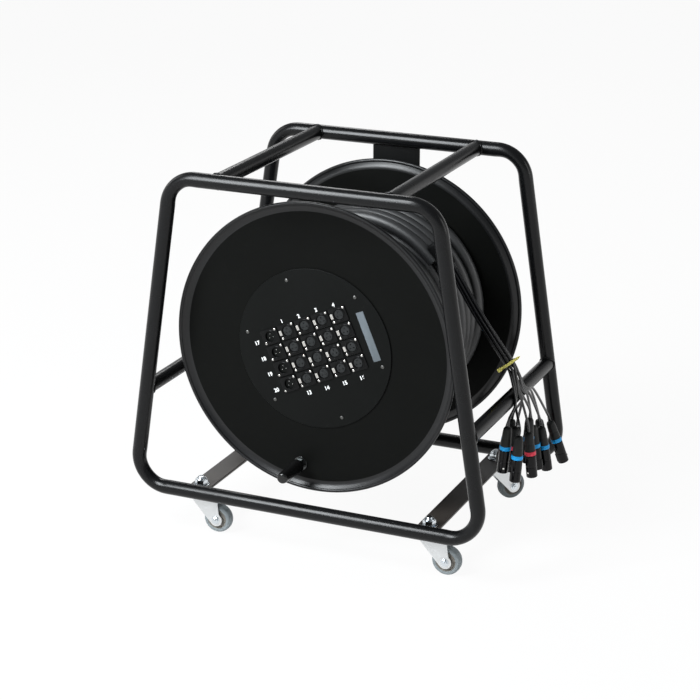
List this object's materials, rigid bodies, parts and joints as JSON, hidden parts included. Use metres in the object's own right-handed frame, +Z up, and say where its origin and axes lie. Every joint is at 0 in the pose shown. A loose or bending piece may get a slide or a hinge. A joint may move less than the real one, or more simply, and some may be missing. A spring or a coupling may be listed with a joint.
{
  "type": "multicore cable drum",
  "caption": "Tube-framed cable drum on swivel castors, with a connector panel and winding handle on its front flange, and the wound cable's tails and plugs at its side.",
  "frame": {"origin": "on the ground, under the middle of the frame", "axes": "+Z up, +X to the right seen from the front, +Y to the rear; the connector panel faces -Y"},
  "size_m": [0.6611, 0.441, 0.6411],
  "materials": {
    "frame_coat": "satin black powder coat",
    "bar_coat": "satin brown-grey powder coat",
    "drum_coat": "satin black powder coat",
    "bare_steel": "turned",
    "zinc": "zinc plated",
    "nickel": "nickel plated",
    "wheel_rubber": "grey, moulded",
    "grip_plastic": "satin",
    "moulded_black": "moulded",
    "cable_pvc": "satin sheath",
    "tie_yellow": "satin"
  },
  "bodies": {
    "frame": {"front_hoop": "frame_coat", "rear_hoop": "frame_coat", "top_tube_left": "frame_coat", "top_tube_right": "frame_coat", "side_tube_left": "frame_coat", "side_tube_right": "frame_coat", "castor_bar_left": "bar_coat", "castor_bar_right": "bar_coat", "bearing_plate": "frame_coat", "drum_axle": "bare_steel", "castor_stem_front_left": "zinc", "castor_stem_front_right": "zinc", "castor_stem_rear_left": "zinc", "castor_stem_rear_right": "zinc", "cable_breakout": "moulded_black", "tails": "cable_pvc", "tail_tie": "tie_yellow", "plug_1": "moulded_black", "plug_2": "moulded_black", "plug_3": "moulded_black", "plug_4": "moulded_black", "plug_5": "moulded_black", "plug_6": "moulded_black", "plug_7": "moulded_black"},
    "drum": {"front_flange": "drum_coat", "rear_flange": "drum_coat", "drum_barrel": "drum_coat", "drum_hub": "bare_steel", "connector_panel": "drum_coat", "handle_stud": "zinc", "cable_winding": "cable_pvc", "male_socket_1": "moulded_black", "male_socket_2": "moulded_black", "male_socket_3": "moulded_black", "male_socket_4": "moulded_black"},
    "grip": {"handle_grip": "grip_plastic"},
    "latch_1": {"latch_tab_1": "nickel"},
    "latch_2": {"latch_tab_2": "nickel"},
    "latch_3": {"latch_tab_3": "nickel"},
    "latch_4": {"latch_tab_4": "nickel"},
    "latch_5": {"latch_tab_5": "nickel"},
    "latch_6": {"latch_tab_6": "nickel"},
    "latch_7": {"latch_tab_7": "nickel"},
    "latch_8": {"latch_tab_8": "nickel"},
    "latch_9": {"latch_tab_9": "nickel"},
    "latch_10": {"latch_tab_10": "nickel"},
    "latch_11": {"latch_tab_11": "nickel"},
    "latch_12": {"latch_tab_12": "nickel"},
    "latch_13": {"latch_tab_13": "nickel"},
    "latch_14": {"latch_tab_14": "nickel"},
    "latch_15": {"latch_tab_15": "nickel"},
    "latch_16": {"latch_tab_16": "nickel"},
    "swivel_front_left": {"castor_fork_front_left": "zinc"},
    "wheel_front_left": {"castor_wheel_front_left": "wheel_rubber"},
    "swivel_front_right": {"castor_fork_front_right": "zinc"},
    "wheel_front_right": {"castor_wheel_front_right": "wheel_rubber"},
    "swivel_rear_left": {"castor_fork_rear_left": "zinc"},
    "wheel_rear_left": {"castor_wheel_rear_left": "wheel_rubber"},
    "swivel_rear_right": {"castor_fork_rear_right": "zinc"},
    "wheel_rear_right": {"castor_wheel_rear_right": "wheel_rubber"}
  },
  "joints": [
    {"name": "drum_spin", "type": "hinge", "parent": "frame", "child": "drum", "pos_m": [0, 0, 0.352], "axis": [0, 1, 0], "continuous": true},
    {"name": "grip_spin", "type": "hinge", "parent": "drum", "child": "grip", "pos_m": [-0.02715, -0.19, 0.14578], "axis": [0, 1, 0], "continuous": true},
    {"name": "latch_press_1", "type": "slide", "parent": "drum", "child": "latch_1", "axis": [0, 1, 0], "range_m": [0, 0.0015], "stiffness_N_per_m": 900, "springref_m": -0.001},
    {"name": "latch_press_2", "type": "slide", "parent": "drum", "child": "latch_2", "axis": [0, 1, 0], "range_m": [0, 0.0015], "stiffness_N_per_m": 900, "springref_m": -0.001},
    {"name": "latch_press_3", "type": "slide", "parent": "drum", "child": "latch_3", "axis": [0, 1, 0], "range_m": [0, 0.0015], "stiffness_N_per_m": 900, "springref_m": -0.001},
    {"name": "latch_press_4", "type": "slide", "parent": "drum", "child": "latch_4", "axis": [0, 1, 0], "range_m": [0, 0.0015], "stiffness_N_per_m": 900, "springref_m": -0.001},
    {"name": "latch_press_5", "type": "slide", "parent": "drum", "child": "latch_5", "axis": [0, 1, 0], "range_m": [0, 0.0015], "stiffness_N_per_m": 900, "springref_m": -0.001},
    {"name": "latch_press_6", "type": "slide", "parent": "drum", "child": "latch_6", "axis": [0, 1, 0], "range_m": [0, 0.0015], "stiffness_N_per_m": 900, "springref_m": -0.001},
    {"name": "latch_press_7", "type": "slide", "parent": "drum", "child": "latch_7", "axis": [0, 1, 0], "range_m": [0, 0.0015], "stiffness_N_per_m": 900, "springref_m": -0.001},
    {"name": "latch_press_8", "type": "slide", "parent": "drum", "child": "latch_8", "axis": [0, 1, 0], "range_m": [0, 0.0015], "stiffness_N_per_m": 900, "springref_m": -0.001},
    {"name": "latch_press_9", "type": "slide", "parent": "drum", "child": "latch_9", "axis": [0, 1, 0], "range_m": [0, 0.0015], "stiffness_N_per_m": 900, "springref_m": -0.001},
    {"name": "latch_press_10", "type": "slide", "parent": "drum", "child": "latch_10", "axis": [0, 1, 0], "range_m": [0, 0.0015], "stiffness_N_per_m": 900, "springref_m": -0.001},
    {"name": "latch_press_11", "type": "slide", "parent": "drum", "child": "latch_11", "axis": [0, 1, 0], "range_m": [0, 0.0015], "stiffness_N_per_m": 900, "springref_m": -0.001},
    {"name": "latch_press_12", "type": "slide", "parent": "drum", "child": "latch_12", "axis": [0, 1, 0], "range_m": [0, 0.0015], "stiffness_N_per_m": 900, "springref_m": -0.001},
    {"name": "latch_press_13", "type": "slide", "parent": "drum", "child": "latch_13", "axis": [0, 1, 0], "range_m": [0, 0.0015], "stiffness_N_per_m": 900, "springref_m": -0.001},
    {"name": "latch_press_14", "type": "slide", "parent": "drum", "child": "latch_14", "axis": [0, 1, 0], "range_m": [0, 0.0015], "stiffness_N_per_m": 900, "springref_m": -0.001},
    {"name": "latch_press_15", "type": "slide", "parent": "drum", "child": "latch_15", "axis": [0, 1, 0], "range_m": [0, 0.0015], "stiffness_N_per_m": 900, "springref_m": -0.001},
    {"name": "latch_press_16", "type": "slide", "parent": "drum", "child": "latch_16", "axis": [0, 1, 0], "range_m": [0, 0.0015], "stiffness_N_per_m": 900, "springref_m": -0.001},
    {"name": "castor_swivel_front_left", "type": "hinge", "parent": "frame", "child": "swivel_front_left", "pos_m": [-0.21, -0.158, 0.0755], "axis": [0, 0, 1], "continuous": true},
    {"name": "wheel_roll_front_left", "type": "hinge", "parent": "swivel_front_left", "child": "wheel_front_left", "pos_m": [-0.1775, -0.158, 0.02501], "axis": [0, 1, 0], "continuous": true},
    {"name": "castor_swivel_front_right", "type": "hinge", "parent": "frame", "child": "swivel_front_right", "pos_m": [0.21, -0.158, 0.0755], "axis": [0, 0, 1], "continuous": true},
    {"name": "wheel_roll_front_right", "type": "hinge", "parent": "swivel_front_right", "child": "wheel_front_right", "pos_m": [0.2425, -0.158, 0.02501], "axis": [0, 1, 0], "continuous": true},
    {"name": "castor_swivel_rear_left", "type": "hinge", "parent": "frame", "child": "swivel_rear_left", "pos_m": [-0.21, 0.158, 0.0755], "axis": [0, 0, 1], "continuous": true},
    {"name": "wheel_roll_rear_left", "type": "hinge", "parent": "swivel_rear_left", "child": "wheel_rear_left", "pos_m": [-0.1775, 0.158, 0.02501], "axis": [0, 1, 0], "continuous": true},
    {"name": "castor_swivel_rear_right", "type": "hinge", "parent": "frame", "child": "swivel_rear_right", "pos_m": [0.21, 0.158, 0.0755], "axis": [0, 0, 1], "continuous": true},
    {"name": "wheel_roll_rear_right", "type": "hinge", "parent": "swivel_rear_right", "child": "wheel_rear_right", "pos_m": [0.23089, 0.1829, 0.02501], "axis": [-0.766, 0.6428, 0], "continuous": true}
  ]
}
